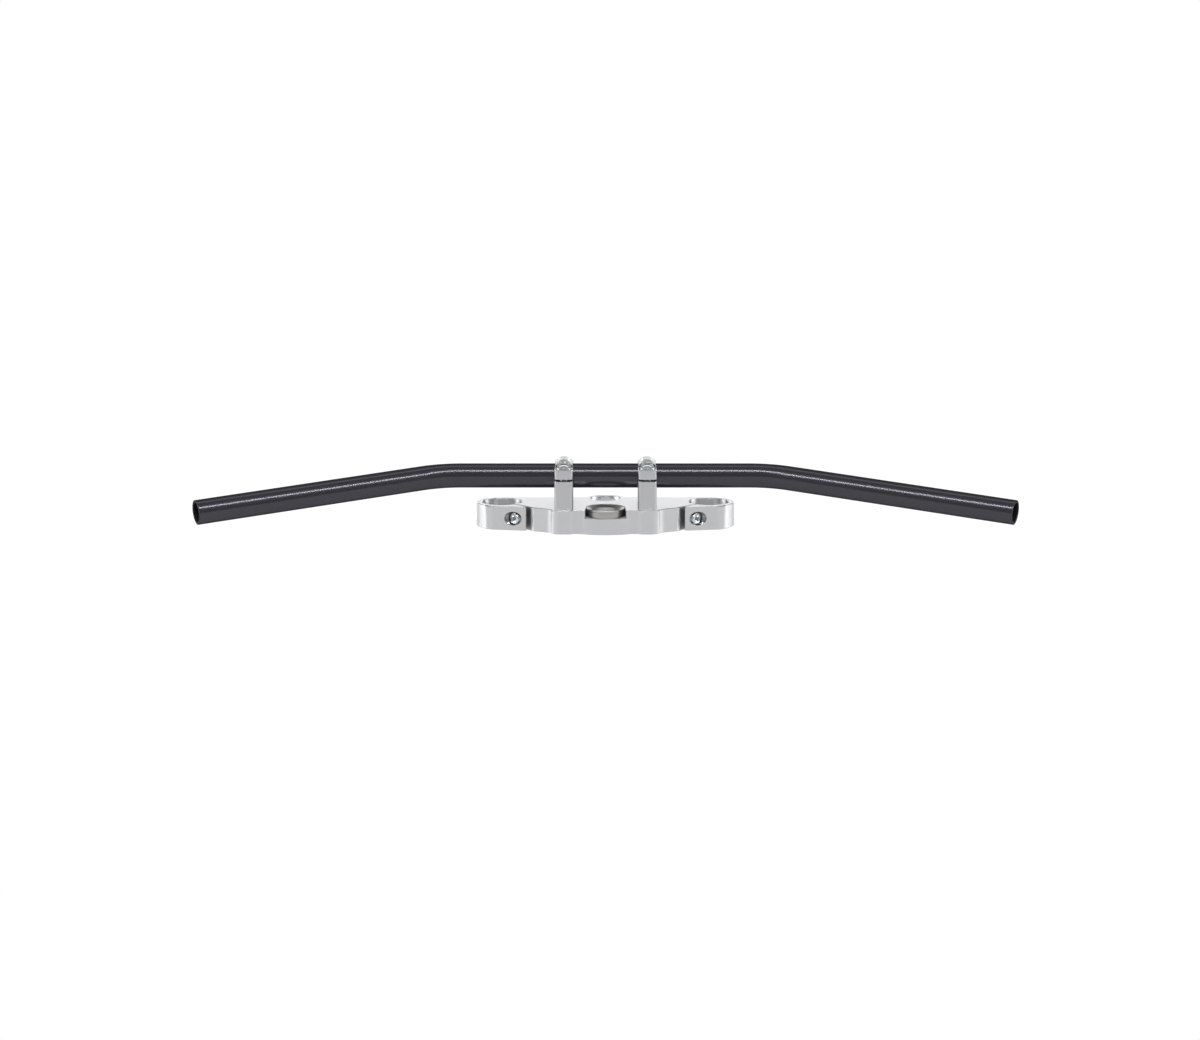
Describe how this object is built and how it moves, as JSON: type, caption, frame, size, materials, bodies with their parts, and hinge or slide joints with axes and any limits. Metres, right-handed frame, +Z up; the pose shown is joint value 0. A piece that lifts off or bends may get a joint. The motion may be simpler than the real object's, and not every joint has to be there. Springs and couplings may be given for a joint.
{
  "type": "motorcycle drag handlebar on risers and top yoke",
  "caption": "Low drag handlebar, a bent round tube with open ends, clamped in capped risers on a milled top yoke with split fork clamps.",
  "frame": {"origin": "on the steering stem's axis, at the flat underside of the top yoke", "axes": "+X towards the rider's right-hand grip, +Y ahead of the motorcycle, +Z up the steering stem"},
  "size_m": [0.7292, 0.1565, 0.0654],
  "materials": {
    "bar_coating": "satin black coating",
    "milled_aluminium": "fine milled and satin anodised",
    "turned_steel": "turned",
    "bright_steel": "bright zinc plated"
  },
  "bodies": {
    "root": {"handlebar": "bar_coating", "top_yoke": "milled_aluminium", "stem_bush": "turned_steel", "riser_left": "milled_aluminium", "riser_right": "milled_aluminium", "cap_left": "milled_aluminium", "cap_right": "milled_aluminium", "cap_screw_left_front": "bright_steel", "cap_screw_left_rear": "bright_steel", "pinch_screw_left": "bright_steel", "riser_bolt_left": "bright_steel", "riser_washer_left": "bright_steel", "riser_dowel_left": "turned_steel", "cap_screw_right_front": "bright_steel", "cap_screw_right_rear": "bright_steel", "pinch_screw_right": "bright_steel", "riser_bolt_right": "bright_steel", "riser_washer_right": "bright_steel", "riser_dowel_right": "turned_steel"}
  },
  "joints": []
}
